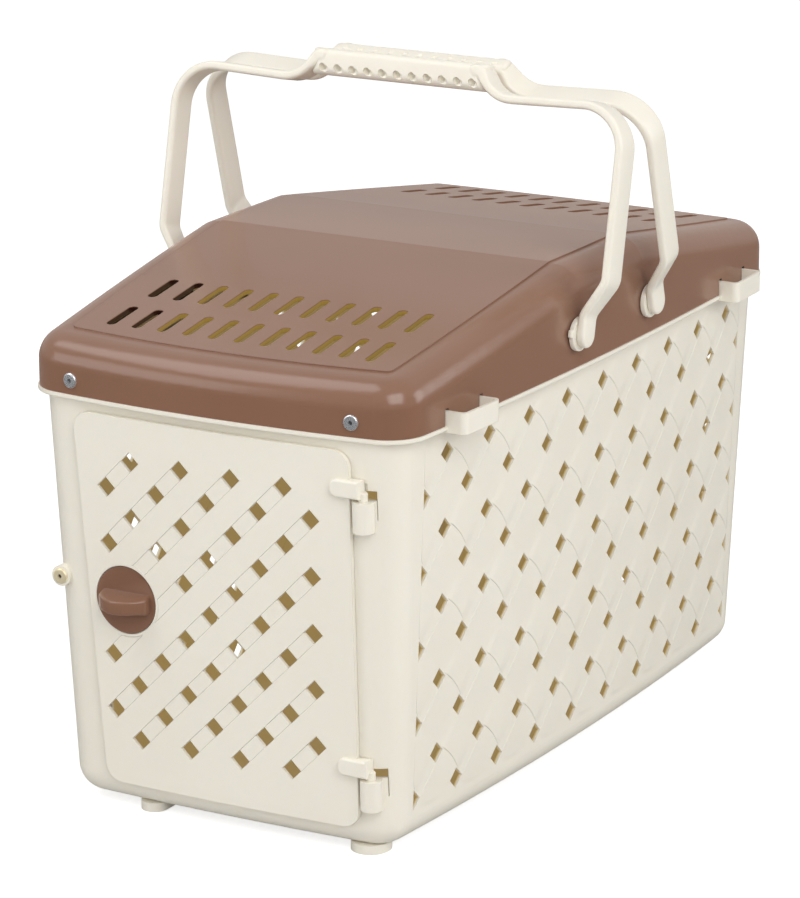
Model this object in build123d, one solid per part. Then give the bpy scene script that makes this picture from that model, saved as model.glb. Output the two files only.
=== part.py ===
from build123d import *
import math
import os

# Pet carrier basket. Millimetres, +Z up, the door faces -Y, and the origin is
# the middle of the footprint on the floor.

# The tub: a drafted box whose walls bow outward a little.
RIM_Z = 264.0
BASE_Z = 4.5
WALL_HALF_W = 134.0
WALL_HALF_L = 249.0
WALL_BOW_SIDE = 10.0
WALL_BOW_END = 4.0
DRAFT_SIDE = 0.0413
DRAFT_END = 0.0404
WALL_CORNER = 22.0
WALL_T = 2.4
FLOOR_EDGE_R = 17.0

# The rim: a bead that stands out from the wall, and a ring inside the lid.
RIM_HALF_W = 140.0
RIM_HALF_L = 255.0
RIM_BOW_SIDE = 8.0
RIM_BOW_END = 9.5
RIM_CORNER = 26.0
BEAD_H = 3.0
RING_TOP_Z = 277.0
RING_T = 2.4
RING_GAP = 0.2

# The lid: a skirt, a roof that slopes to both ends, a raised panel, vent slots.
SKIRT_IN = 1.0
LID_T = 2.2
ROOF_Z = 326.4
ROOF_FLAT_HALF = 43.0
ROOF_SLOPE = 0.151
ROOF_EDGE_R = 18.0
PANEL_INSET = 21.5
PANEL_H = 1.0
VENT_PITCH = 18.0
VENT_COUNT = 11
VENT_LENGTH = 30.0
VENT_W = 6.5
VENT_ROWS = (156.0, 202.0)

# The woven lattice: square openings turned on their corner.
LATTICE_STEP = 23.59
LATTICE_Z = 244.3
LATTICE_ROWS = 10
HOLE_SIDE = 9.6
REAR_COLUMNS = 3
SIDE_COLUMNS = 8
DOOR_STEP = 17.77
DOOR_LATTICE_X = -20.07
DOOR_LATTICE_Z = 121.05
DOOR_HOLE_SIDE = 9.2

# The front door: a shallow tray that lies over the opening in the front wall.
DOOR_PROUD = 3.7
DOOR_GAP = 0.4
DOOR_T = 2.4
DOOR_RIGHT = 95.6
DOOR_LEFT_TOP = -96.0
DOOR_LEFT_BOTTOM = -82.4
DOOR_TOP_Z = 255.0
DOOR_BOTTOM_Z = 19.4
DOOR_CORNER = 11.0
DOOR_OVERLAP = 6.0

# The hinges: two pins on the door hang in two half-round sockets.
HINGE_X = 103.8
HINGE_OUT = 2.2
PIN_R = 2.9
PIN_CLEARANCE = 0.08
SOCKET_R = 6.65
SOCKET_H = 19.0
SOCKET_TOPS = (226.0, 52.0)
ARM_H = 10.8
ARM_LENGTH = 20.0
ARM_OUT = 8.2
ARM_ABOVE_SOCKET = 1.6

# The knob, its latch cam and the keeper the cam slides behind.
KNOB_X = -62.5
KNOB_Z = 139.6
KNOB_D = 42.3
KNOB_RING_GAP = 0.5
KNOB_T = 1.7
GRIP_BAR_W = 38.0
GRIP_BAR_H = 8.3
GRIP_BAR_OUT = 13.0
SHAFT_R = 5.0
RUN_CLEARANCE = 0.08
CAM_REACH = 34.0
CAM_W = 11.0
CAM_T = 2.5
CAM_BEHIND_WALL = 0.6
KEEPER_X = -112.1
KEEPER_Z = 146.2
KEEPER_T = 2.0
KEEPER_SEAT = 17.0
KEEPER_PLAY = 0.8

# Rivets with a domed head, 4.8 mm shank.
RIVET_HEAD_R = 4.75
RIVET_HEAD_H = 1.4
RIVET_SHANK_R = 2.4
RIVET_BORE_R = 1.35
LID_RIVET_X = 97.2
LID_RIVET_Z = 272.8

# Belt loops at the long sides, two legs and a band outside each.
LOOP_LEGS = (162.5, 200.5)
LOOP_LEG_T = 2.6
LOOP_BOTTOM_Z = 260.0
LOOP_TOP_Z = 273.0
LOOP_OUT = 13.2
LOOP_T = 2.2
LOOP_SLOT_W = 3.8
LOOP_SLOT_TOP_Z = 274.5

# Feet under the tub.
FOOT_CENTRES = (-58.5, 92.0)
FOOT_HALF_W = (8.5, 12.0)
FOOT_LENGTH = 26.0
FOOT_INSET = 4.0

# The two carrying handles, one mirrored from the other.
PIVOT_Y = 48.2
PIVOT_Z = 285.8
HANDLE_T = 5.6
HANDLE_D = 19.3
HANDLE_EDGE = 1.8
FRONT_LEAN = 12.2
REAR_LEAN = 15.6
ARM_X = 145.6
SPREAD_X = 158.9
ARM_STRAIGHT = 12.0
SPREAD_V = 33.0
BAR_V = 139.6
BAR_DROP = 2.7
BAR_BEND = 27.0
END_R = 11.0
RISE_FOOT_X = 73.1
RISE_HEAD_X = 56.3
RISE_BEND = 13.0
HAND_GRIP_V = 151.6
HAND_GRIP_HALF = 61.0
HAND_GRIP_D = 14.4
HAND_GRIP_LOW = 140.1
DIMPLE_COUNT = 11
DIMPLE_PITCH = 10.7
DIMPLE_V = 144.4
DIMPLE_R = 3.2
DIMPLE_DEEP = 1.6
PIVOT_R = 5.0
PIVOT_HEAD_R = 6.6
PIVOT_BOSS_R = 11.0
PIVOT_BOSS_GAP = 0.35

os.makedirs("parts", exist_ok=True)


def bowed_face(bow, span):
    """A big flat face whose +X edge bows out to the origin."""
    sag = bow * (400 / span) ** 2
    across = ThreePointArc((-sag, -400), (0, 0), (-sag, 400))
    return make_face([across, Polyline((-sag, 400), (-700, 400), (-700, -400), (-sag, -400))])


def wall_side(half, bow, span, draft, grow, turn):
    """A big block whose one face is a bowed, drafted wall, turned about Z."""
    lean = Plane(origin=(half + grow, 0, RIM_Z), x_dir=(1, 0, -draft), z_dir=(draft, 0, 1))
    return Rot(0, 0, turn) * extrude(lean * bowed_face(bow, span), 320, both=True)


def tub(grow, low, high):
    """The solid inside the tub wall between two heights, moved outward by grow."""
    side = (WALL_HALF_W, WALL_BOW_SIDE, WALL_HALF_L - WALL_BOW_END, DRAFT_SIDE, grow)
    end = (WALL_HALF_L, WALL_BOW_END, WALL_HALF_W - WALL_BOW_SIDE, DRAFT_END, grow)
    block = slab((-300, -300, low), (300, 300, high))
    for turn in (0, 180):
        block = block & wall_side(*side, turn)
        block = block & wall_side(*end, turn + 90)
    upright = [e for e in block.edges() if abs(e.tangent_at(0.5).Z) > 0.8]
    return fillet(upright, WALL_CORNER + grow)


def rim_block(inset, low, high):
    """The solid inside the rim outline between two heights, moved inward by inset."""
    face = Rectangle(600, 600)
    for turn in (0, 180):
        side = Pos(RIM_HALF_W - inset, 0) * bowed_face(RIM_BOW_SIDE, RIM_HALF_L - RIM_BOW_END)
        end = Pos(RIM_HALF_L - inset, 0) * bowed_face(RIM_BOW_END, RIM_HALF_W - RIM_BOW_SIDE)
        face = face & Rot(0, 0, turn) * side
        face = face & Rot(0, 0, turn + 90) * end
    face = fillet(face.vertices(), max(RIM_CORNER - inset, 4.0))
    return extrude(Pos(0, 0, low) * face, high - low)


def bow_at(bow, span, x):
    """How far a bowed edge has fallen back at a distance x from its middle."""
    sag = bow * (400 / span) ** 2
    radius = (400 ** 2 + sag ** 2) / (2 * sag)
    return radius - math.sqrt(radius ** 2 - x ** 2)


def front_wall_y(x, z):
    """Where the front wall's outer surface lies."""
    bow = bow_at(WALL_BOW_END, WALL_HALF_W - WALL_BOW_SIDE, x)
    return -(WALL_HALF_L - DRAFT_END * (RIM_Z - z)) + bow


def rim_half_width(y, inset):
    """Half the width of the rim outline at the given y, moved inward by inset."""
    return RIM_HALF_W - inset - bow_at(RIM_BOW_SIDE, RIM_HALF_L - RIM_BOW_END, y)


def rod(start, direction, radius, length):
    """A round rod from a point along a direction."""
    return extrude(Plane(origin=start, z_dir=direction) * Circle(radius), length)


def slab(low, high):
    """A box between two corners."""
    size = [b - a for a, b in zip(low, high)]
    middle = [(a + b) / 2 for a, b in zip(low, high)]
    return Pos(*middle) * Box(*size)


def diamond(side):
    """A square turned on its corner."""
    return Rot(0, 0, 45) * Rectangle(side, side)


def side_holes():
    """Openings of both long walls, as prisms right across the tub."""
    prisms = []
    for row in range(LATTICE_ROWS):
        z = LATTICE_Z - row * LATTICE_STEP
        shift = row % 2
        for column in range(-SIDE_COLUMNS, SIDE_COLUMNS + 1):
            if (column + shift) % 2:
                continue
            at = Plane(origin=(-160, column * LATTICE_STEP, z), z_dir=(1, 0, 0))
            prisms.append(extrude(at * diamond(HOLE_SIDE), 320))
        if shift:
            for end in (-1, 1):
                y = end * (SIDE_COLUMNS + 1) * LATTICE_STEP
                at = Plane(origin=(-160, y, z), z_dir=(1, 0, 0))
                whole = extrude(at * diamond(HOLE_SIDE), 320)
                inner = slab((-170, -abs(y), 0), (170, abs(y), RIM_Z))
                prisms.append(whole & inner)
    return prisms


def rear_holes():
    """Openings of the rear wall."""
    prisms = []
    for row in range(LATTICE_ROWS):
        z = LATTICE_Z - row * LATTICE_STEP
        for column in range(-REAR_COLUMNS - 1, REAR_COLUMNS + 2):
            if (column + row) % 2:
                continue
            at = Plane(origin=(column * LATTICE_STEP, 190, z), z_dir=(0, 1, 0))
            prisms.append(extrude(at * diamond(HOLE_SIDE), 100))
    return prisms


def door_holes():
    """Openings of the door, leaving out the four that the knob covers."""
    left_out = ((-3, 1), (-2, 2), (-2, 0), (-1, 1))
    prisms = []
    for i in range(-3, 6):
        for j in range(-4, 7):
            if (i + j) % 2 or (i, j) in left_out:
                continue
            x = DOOR_LATTICE_X + DOOR_STEP * i
            z = DOOR_LATTICE_Z + DOOR_STEP * j
            at = Plane(origin=(x, -290, z), z_dir=(0, 1, 0))
            prisms.append(extrude(at * diamond(DOOR_HOLE_SIDE), 80))
    return prisms


def door_prism(inset, radius):
    """A block with the door's outline seen from the front, moved inward by inset."""
    low = DOOR_BOTTOM_Z + inset
    high = DOOR_TOP_Z - inset
    right = DOOR_RIGHT - inset
    corners = [
        (DOOR_LEFT_BOTTOM + inset, low),
        (right, low),
        (right, high),
        (DOOR_LEFT_TOP + inset, high),
    ]
    face = make_face(Polyline([(x, -z) for x, z in corners], close=True))
    face = fillet(face.vertices(), radius)
    at = Plane(origin=(0, -290, 0), x_dir=(1, 0, 0), z_dir=(0, 1, 0))
    return extrude(at * face, 80)


# The hinge axis follows the drafted front wall.
HINGE_DIR = Vector(0, -DRAFT_END, 1).normalized()
HINGE_FOOT = Vector(HINGE_X, front_wall_y(HINGE_X, 0) - HINGE_OUT, 0)


def on_hinge(z):
    """The point of the hinge axis at height z."""
    return HINGE_FOOT + HINGE_DIR * (z / HINGE_DIR.Z)


def on_door(x, z, out):
    """A plane on the front wall at (x, z), its normal along -Y, out from the wall."""
    return Plane(origin=(x, front_wall_y(x, z) - out, z), z_dir=(0, -1, 0))


def blind_rivet(at, grip):
    """A blind rivet whose head sits on the plane and whose shank runs inward."""
    head = at * extrude(Circle(RIVET_HEAD_R), RIVET_HEAD_H)
    head = fillet(head.faces().sort_by(Axis(at.origin, at.z_dir))[-1].edges(), 0.9)
    shank = extrude(at * Circle(RIVET_SHANK_R), -grip)
    behind = at.offset(-grip)
    bulb = extrude(behind * Circle(RIVET_SHANK_R + 1.1), -3.0)
    return head + shank + bulb - rod_on(at.offset(RIVET_HEAD_H), RIVET_BORE_R, grip + 3.0)


def rod_on(at, radius, depth):
    """A round rod that runs inward from a plane."""
    return extrude(at * Circle(radius), -depth)


def rivet_mandrel(at, grip):
    """The broken mandrel that stays in a blind rivet."""
    deep = at.offset(0.2)
    return rod_on(deep, RIVET_BORE_R - 0.02, grip + 1.6)


# The basket, in its order of making: wall, bead, ring, openings, loops, sockets.
outer = tub(0, BASE_Z, RIM_Z)
outer = fillet(outer.faces().sort_by(Axis.Z)[0].edges(), FLOOR_EDGE_R)
inner = tub(-WALL_T, BASE_Z + WALL_T, RIM_Z + 1)
inner = fillet(inner.faces().sort_by(Axis.Z)[0].edges(), FLOOR_EDGE_R - WALL_T)
wall = outer - inner
wall = wall - side_holes()
wall = wall - rear_holes()
aperture = door_prism(DOOR_OVERLAP, DOOR_CORNER - 3)
wall = wall - (aperture & slab((-120, -290, 0), (120, -200, RIM_Z)))

bead = rim_block(0, RIM_Z - BEAD_H, RIM_Z)
bead = fillet(bead.faces().sort_by(Axis.Z)[0].edges(), 1.2)
bead = bead - tub(-WALL_T, RIM_Z - BEAD_H - 1, RIM_Z + 1)
ring_out = SKIRT_IN + LID_T + RING_GAP
ring = rim_block(ring_out, RIM_Z - BEAD_H, RING_TOP_Z)
ring = ring - rim_block(ring_out + RING_T, RIM_Z - BEAD_H - 1, RING_TOP_Z + 1)
basket = wall + bead + ring

for side in (-1, 1):
    for end in (-1, 1):
        near = rim_half_width(LOOP_LEGS[0], SKIRT_IN) + LOOP_OUT
        far = rim_half_width(LOOP_LEGS[1], SKIRT_IN) + LOOP_OUT
        root = rim_half_width(LOOP_LEGS[1], ring_out) - 0.6
        a = end * (LOOP_LEGS[0] - LOOP_LEG_T / 2)
        b = end * (LOOP_LEGS[1] + LOOP_LEG_T / 2)
        loop = make_face(Polyline([(root, a), (near, a), (far, b), (root, b)], close=True))
        loop = fillet(loop.vertices().sort_by(Axis.X)[-2:], 4.5)
        inside = make_face(Polyline([
            (root - 1, a + end * LOOP_LEG_T),
            (near - LOOP_T, a + end * LOOP_LEG_T),
            (far - LOOP_T, b - end * LOOP_LEG_T),
            (root - 1, b - end * LOOP_LEG_T),
        ], close=True))
        inside = fillet(inside.vertices().sort_by(Axis.X)[-2:], 2.5)
        loop = Pos(0, 0, LOOP_BOTTOM_Z) * extrude(loop - inside, LOOP_TOP_Z - LOOP_BOTTOM_Z)
        if side < 0:
            loop = mirror(loop, Plane.YZ)
        basket = basket + loop

for top in SOCKET_TOPS:
    foot = on_hinge(top - SOCKET_H)
    socket = rod(foot, HINGE_DIR, SOCKET_R, SOCKET_H)
    basket = basket + socket
    floor_up = on_hinge(top - SOCKET_H + 2)
    basket = basket - rod(floor_up, HINGE_DIR, PIN_R + PIN_CLEARANCE, SOCKET_H + 8)
    y = front_wall_y(HINGE_X, top)
    window = slab((HINGE_X - 7.0, y - 0.8, top), (HINGE_X + 7.2, y + 12, top + 5.8))
    slit = slab((HINGE_X + 6.7, y - 4, top - 12), (HINGE_X + 7.3, y + 12, top + 0.1))
    basket = basket - window - slit

keeper_seat = front_wall_y(KEEPER_X + 12, KEEPER_Z) + KEEPER_SEAT
boss_front = front_wall_y(-100, KEEPER_Z) - 1.2
boss_at = Plane(origin=(KEEPER_X, boss_front, KEEPER_Z), z_dir=(0, -1, 0))
basket = basket + rod_on(boss_at, 6.5, keeper_seat - boss_front)
basket = basket - rod_on(boss_at.offset(1), RIVET_SHANK_R, 30)

for x, half in zip(FOOT_CENTRES, FOOT_HALF_W):
    for end in (-1, 1):
        reach = abs(front_wall_y(x, BASE_Z)) - FOOT_INSET
        foot = Pos(end * x, end * -(reach - FOOT_LENGTH / 2), 0)
        foot = foot * extrude(SlotOverall(FOOT_LENGTH, half * 2, rotation=90)
                              if FOOT_LENGTH > half * 2 else Circle(half), BASE_Z + 1.2)
        basket = basket + foot


def rim_rivet_plane(x_side, y_side):
    """The seat of a lid rivet, square to the skirt."""
    bow = bow_at(RIM_BOW_END, RIM_HALF_W - RIM_BOW_SIDE, LID_RIVET_X)
    y = RIM_HALF_L - SKIRT_IN - bow
    slope = 2 * bow / LID_RIVET_X
    normal = (x_side * slope, y_side, 0)
    return Plane(origin=(x_side * LID_RIVET_X, y_side * y, LID_RIVET_Z), z_dir=normal)


RIVET_SEATS = {
    "lid_rivet_front_left": rim_rivet_plane(-1, -1),
    "lid_rivet_front_right": rim_rivet_plane(1, -1),
    "lid_rivet_rear_left": rim_rivet_plane(-1, 1),
    "lid_rivet_rear_right": rim_rivet_plane(1, 1),
}
LID_GRIP = LID_T + RING_GAP + RING_T + 0.05
for at in RIVET_SEATS.values():
    basket = basket - rod_on(at.offset(2), RIVET_SHANK_R, 12)
export_step(basket, "parts/basket.step")
print("basket", round(basket.volume / 1000, 1))


# The lid.
def roof_prism(lift):
    """A block under the roof planes, raised by lift."""
    far = 300
    drop = (far - ROOF_FLAT_HALF) * ROOF_SLOPE
    high = ROOF_Z + lift
    profile = make_face(Polyline([
        (-far, RIM_Z - 10),
        (far, RIM_Z - 10),
        (far, high - drop),
        (ROOF_FLAT_HALF, high),
        (-ROOF_FLAT_HALF, high),
        (-far, high - drop),
    ], close=True))
    return extrude(Plane.YZ * profile, 200, both=True)


def lid_block(inset, lift, edge):
    """The rounded solid under the lid's skin."""
    block = rim_block(inset, RIM_Z, RIM_Z + 90) & roof_prism(lift)
    top = [e for e in block.edges() if e.center().Z > RIM_Z + 20 and not (
        abs(abs(e.center().Y) - ROOF_FLAT_HALF) < 1 and abs(e.center().X) < 60)]
    upper = [e for e in top if abs(e.tangent_at(0.5).Z) < 0.5]
    return fillet(upper, edge)


lid = lid_block(SKIRT_IN, 0, ROOF_EDGE_R)
panel = rim_block(SKIRT_IN + PANEL_INSET, RIM_Z + 12, RIM_Z + 90) & roof_prism(PANEL_H)
lid = lid + panel
hollow = lid_block(SKIRT_IN + LID_T, -LID_T, ROOF_EDGE_R - LID_T)
hollow = hollow + slab((-50, -50, RIM_Z - 5), (50, 50, RIM_Z + 5))
lid = lid - hollow
below = rim_block(SKIRT_IN + LID_T, RIM_Z - 5, RIM_Z + 3)
lid = lid - below

vents = []
for row in VENT_ROWS:
    for end in (-1, 1):
        for k in range(VENT_COUNT):
            x = (k - (VENT_COUNT - 1) / 2) * VENT_PITCH
            slot = SlotOverall(VENT_LENGTH, VENT_W, rotation=90)
            vents.append(Pos(x, end * row, RIM_Z) * extrude(slot, 90))
lid = lid - vents
for side in (-1, 1):
    for end in (-1, 1):
        for leg in LOOP_LEGS:
            x = side * rim_half_width(leg, SKIRT_IN)
            low = (x - 8, end * leg - LOOP_SLOT_W / 2, RIM_Z - 1)
            high = (x + 8, end * leg + LOOP_SLOT_W / 2, LOOP_SLOT_TOP_Z)
            lid = lid - slab(low, high)
        bore = rod((side * 100, end * PIVOT_Y, PIVOT_Z), (side, 0, 0), PIVOT_R + RUN_CLEARANCE, 60)
        lid = lid - bore
for at in RIVET_SEATS.values():
    lid = lid - rod_on(at.offset(2), RIVET_SHANK_R, 12)
export_step(lid, "parts/lid.step")
print("lid", round(lid.volume / 1000, 1))

for name, at in RIVET_SEATS.items():
    export_step(blind_rivet(at, LID_GRIP), "parts/" + name + ".step")
    export_step(rivet_mandrel(at, LID_GRIP), "parts/" + name + "_mandrel.step")
keeper_grip = keeper_seat + KEEPER_T - boss_front
export_step(blind_rivet(boss_at, keeper_grip), "parts/keeper_rivet.step")
export_step(rivet_mandrel(boss_at, keeper_grip), "parts/keeper_rivet_mandrel.step")

lip_y = front_wall_y(KNOB_X - CAM_REACH, KNOB_Z) + WALL_T + CAM_BEHIND_WALL + CAM_T + KEEPER_PLAY
low_z = KEEPER_Z - 12.5
high_z = KEEPER_Z + 5.5
web_x = KEEPER_X + 9.5
pad = slab((KEEPER_X - 4.5, keeper_seat, low_z), (web_x, keeper_seat + KEEPER_T, high_z))
web = slab((web_x - KEEPER_T, lip_y, low_z), (web_x, keeper_seat + KEEPER_T, high_z))
lip = slab((web_x - KEEPER_T, lip_y, low_z), (KNOB_X - CAM_REACH + 7, lip_y + KEEPER_T, high_z))
keeper = pad + web + lip
keeper = keeper - rod_on(boss_at, RIVET_SHANK_R, 40)
export_step(keeper, "parts/latch_keeper.step")


# The door: a shallow tray, its skin and its edge following the front wall.
def skin(near, far):
    """The solid between two surfaces in front of the front wall."""
    return tub(far, 5, RIM_Z - 2) - tub(near, 4, RIM_Z - 1)


door = skin(DOOR_GAP, DOOR_PROUD) & door_prism(0, DOOR_CORNER)
tray = skin(DOOR_GAP - 1, DOOR_PROUD - DOOR_T) & door_prism(DOOR_T, DOOR_CORNER - DOOR_T)
knob_at = on_door(KNOB_X, KNOB_Z, 0)
ring_r = KNOB_D / 2 + KNOB_RING_GAP
boss = extrude(knob_at.offset(20) * Circle(ring_r + 2.0), -40)
tray = tray - boss
door = door - tray
face_out = DOOR_PROUD
knob_face = knob_at.offset(face_out)
recess_floor = KNOB_T + 0.2
door = door - extrude(knob_face.offset(6) * Circle(ring_r), -6 - recess_floor)
door = door - extrude(knob_at.offset(20) * Circle(SHAFT_R + RUN_CLEARANCE), -40)
door = door - door_holes()
for top in SOCKET_TOPS:
    low = top + ARM_ABOVE_SOCKET
    y = front_wall_y(HINGE_X, low + ARM_H / 2)
    tip = HINGE_X + 0.2
    arm = slab((tip - ARM_LENGTH, y - ARM_OUT, low), (tip, y + 5, low + ARM_H))
    arm = arm - tub(DOOR_GAP, 4, RIM_Z - 1)
    left = arm.edges().filter_by(Axis.Y).sort_by(Axis.X)[:2]
    arm = fillet(left, 4.5)
    front = arm.faces().sort_by(Axis.Y)[0].edges()
    arm = fillet(front, 1.5)
    pin = rod(on_hinge(top - SOCKET_H + 2.4), HINGE_DIR, PIN_R, SOCKET_H + 3.0)
    pin = chamfer(pin.edges().sort_by(Axis.Z)[0], 0.6)
    pin = chamfer(pin.edges().sort_by(Axis.Z)[-1], 0.8)
    door = door + arm + pin
export_step(door, "parts/front_door.step")
print("door", round(door.volume / 1000, 1))

# The knob and what it turns.
disc = extrude(knob_face * Circle(KNOB_D / 2), -KNOB_T)
disc = chamfer(disc.edges().sort_by(Axis.Y)[0], 0.4)
bar_plan = make_face([
    ThreePointArc((-GRIP_BAR_W / 2, 0), (0, GRIP_BAR_OUT), (GRIP_BAR_W / 2, 0)),
    Line((GRIP_BAR_W / 2, 0), (-GRIP_BAR_W / 2, 0)),
])
bar_base = Plane(origin=knob_face.origin + Vector(0, 0.6, -GRIP_BAR_H / 2), x_dir=(-1, 0, 0), z_dir=(0, 0, 1))
bar = extrude(bar_base * bar_plan, GRIP_BAR_H)
bar = fillet(bar.edges().filter_by(GeomType.CIRCLE), 1.2)
bow_there = front_wall_y(KNOB_X - CAM_REACH, KNOB_Z) - front_wall_y(KNOB_X, KNOB_Z)
cam_back = WALL_T + CAM_BEHIND_WALL + bow_there
shaft = extrude(knob_face * Circle(SHAFT_R), -(face_out + cam_back))
neck = extrude(knob_face * RectangleRounded(7, 7, 1), -(face_out + cam_back + CAM_T))
screw_hole = extrude(knob_at.offset(1) * Circle(1.6), -20)
knob = disc + bar + shaft + neck - screw_hole
export_step(knob, "parts/door_knob.step")

cam_at = knob_at.offset(-cam_back)
cam = make_face(Polyline([(0, -9), (0, 9), (CAM_REACH, CAM_W / 2), (CAM_REACH, -CAM_W / 2)], close=True))
cam = fillet(cam.vertices().sort_by(Axis.X)[-2:], 3) + Circle(9)
cam_plane = Plane(origin=cam_at.origin, x_dir=(-1, 0, 0), z_dir=(0, 1, 0))
cam = extrude(cam_plane * cam, CAM_T) - extrude(cam_plane * RectangleRounded(7, 7, 1), CAM_T)
export_step(cam, "parts/latch_cam.step")

screw_seat = cam_at.offset(-CAM_T)
screw = extrude(screw_seat * Circle(5), -2.2)
screw = fillet(screw.faces().sort_by(Axis.Y)[-1].edges(), 1.2)
screw = screw + extrude(screw_seat * Circle(1.6), 6.0)
slot_at = screw_seat.offset(-2.2)
screw = screw - extrude(slot_at * Rectangle(5.0, 0.9), 1.0) - extrude(slot_at * Rectangle(0.9, 5.0), 1.0)
export_step(screw, "parts/cam_screw.step")


# The handles.
def beside(points, distance):
    """The corners of a line drawn beside a bent line, at an even distance."""
    moved = []
    for k, point in enumerate(points):
        before = points[max(k - 1, 0)]
        after = points[min(k + 1, len(points) - 1)]
        here = math.atan2(point[1] - before[1], point[0] - before[0])
        there = math.atan2(after[1] - point[1], after[0] - point[0])
        if k == 0:
            here = there
        if k == len(points) - 1:
            there = here
        turn = (there - here + math.pi) % (2 * math.pi) - math.pi
        away = distance / math.cos(turn / 2)
        angle = here + turn / 2
        moved.append((point[0] + away * math.sin(angle), point[1] - away * math.cos(angle)))
    return moved


def bent_band():
    """The handle's outline seen from the front: a strip of even width round its bends."""
    half = HANDLE_T / 2
    right = [
        (ARM_X, -END_R),
        (ARM_X, ARM_STRAIGHT),
        (SPREAD_X, SPREAD_V),
        (SPREAD_X, BAR_V),
        (RISE_FOOT_X, BAR_V - BAR_DROP),
        (RISE_HEAD_X, HAND_GRIP_V),
    ]
    line = right + [(-x, v) for x, v in reversed(right)]
    bends = [0, 11.0, 11.0, BAR_BEND, RISE_BEND, RISE_BEND]
    bends = bends + bends[::-1]
    turns = [0, 1, -1, -1, 1, -1]
    turns = turns + turns[::-1]
    left = [r and r + t * half for r, t in zip(bends, turns)]
    right_side = [r and r - t * half for r, t in zip(bends, turns)]
    corners = beside(line, -half) + beside(line, half)[::-1]
    return make_face(FilletPolyline(corners, radius=left + right_side[::-1], close=True))


band = extrude(Plane.XZ * bent_band(), HANDLE_D / 2, both=True)
ends = slab((-170, -END_R, -END_R), (170, END_R, 0))
band = band - (ends - rod((-170, 0, 0), (1, 0, 0), END_R, 340))
band_edges = [e for e in band.edges() if abs(abs(e.center().Y) - HANDLE_D / 2) < 0.05]
band = chamfer(band_edges, HANDLE_EDGE)
grip_low = (-HAND_GRIP_HALF, -HAND_GRIP_D / 2, HAND_GRIP_LOW)
hand_grip = slab(grip_low, (HAND_GRIP_HALF, HAND_GRIP_D / 2, HAND_GRIP_V))
hand_grip = fillet(hand_grip.edges().filter_by(Axis.X).sort_by(Axis.Z)[:2], 3.5)
handle = band + hand_grip
for k in range(DIMPLE_COUNT):
    x = (k - (DIMPLE_COUNT - 1) / 2) * DIMPLE_PITCH
    at = (x, -HAND_GRIP_D / 2 - 1, DIMPLE_V)
    handle = handle - rod(at, (0, 1, 0), DIMPLE_R, DIMPLE_DEEP + 1)
for side in (-1, 1):
    boss_in = RIM_HALF_W - SKIRT_IN + PIVOT_BOSS_GAP
    arm_in = ARM_X - HANDLE_T / 2
    boss = rod((side * boss_in, 0, 0), (side, 0, 0), PIVOT_BOSS_R, arm_in - boss_in + 1)
    stud_end = RIM_HALF_W - SKIRT_IN - LID_T - 1.0 - RIM_BOW_SIDE * 0.1
    stud = rod((side * (stud_end - 2.4), 0, 0), (side, 0, 0), PIVOT_R, boss_in - stud_end + 3)
    head = rod((side * (stud_end - 2.4), 0, 0), (side, 0, 0), PIVOT_HEAD_R, 2.4)
    handle = handle + boss + stud + head
front_handle = Pos(0, -PIVOT_Y, PIVOT_Z) * Rot(-FRONT_LEAN, 0, 0) * handle
export_step(front_handle, "parts/front_handle.step")
rear_handle = Pos(0, -PIVOT_Y, PIVOT_Z) * Rot(-REAR_LEAN, 0, 0) * handle
rear_handle = mirror(rear_handle, Plane.XZ)
export_step(rear_handle, "parts/rear_handle.step")
print("handle", round(front_handle.volume / 1000, 1))
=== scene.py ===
# %% [markdown]
# # Pet carrier basket: looks
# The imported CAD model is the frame. The tub, the lid, the door, the rivets and
# the small parts of the latch keep its meshes and get materials. The handles
# and the knob are replaced with rounder meshes, because soft edges and dimples
# make most of their look. A pale studio comes last.
#
# All is in metres in the CAD's own frame: X to the right, the door towards
# minus Y, Z up. Sizes are given in millimetres, and MM turns them into metres.

# %% Load the frame
import math
import bpy
import bmesh
from mathutils import Matrix, Vector


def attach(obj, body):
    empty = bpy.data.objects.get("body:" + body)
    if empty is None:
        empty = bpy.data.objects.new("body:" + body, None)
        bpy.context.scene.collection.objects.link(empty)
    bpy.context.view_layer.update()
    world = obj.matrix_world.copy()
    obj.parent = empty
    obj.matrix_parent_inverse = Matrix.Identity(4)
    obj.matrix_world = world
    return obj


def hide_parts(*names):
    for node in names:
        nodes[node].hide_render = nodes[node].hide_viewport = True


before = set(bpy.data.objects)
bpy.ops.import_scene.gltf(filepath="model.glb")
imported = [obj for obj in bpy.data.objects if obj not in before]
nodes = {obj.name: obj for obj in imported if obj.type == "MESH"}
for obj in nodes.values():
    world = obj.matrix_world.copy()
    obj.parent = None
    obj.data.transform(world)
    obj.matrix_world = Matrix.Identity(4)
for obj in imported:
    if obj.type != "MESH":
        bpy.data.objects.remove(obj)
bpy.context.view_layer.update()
MM = 0.001
print("nodes", len(nodes))

# %% [markdown]
# ## The camera
# The azimuth, elevation, roll and distance were solved from the regular
# lattices, the vent rows and the rim, so the CAD model falls on the photograph
# to within a few pixels. The focal length was found in pixels of an image
# 800 wide; a lens in millimetres is that length in units of the sensor.

# %% Camera
AZIMUTH = math.radians(29.7475)
ELEVATION = math.radians(15.9588)
ROLL = math.radians(-0.2365)
EYE = Vector((1.32625, -2.34273, 0.95110))
FOCAL_PIXELS = 4367.87
IMAGE_WIDTH = 800.0
SENSOR = 36.0

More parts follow.
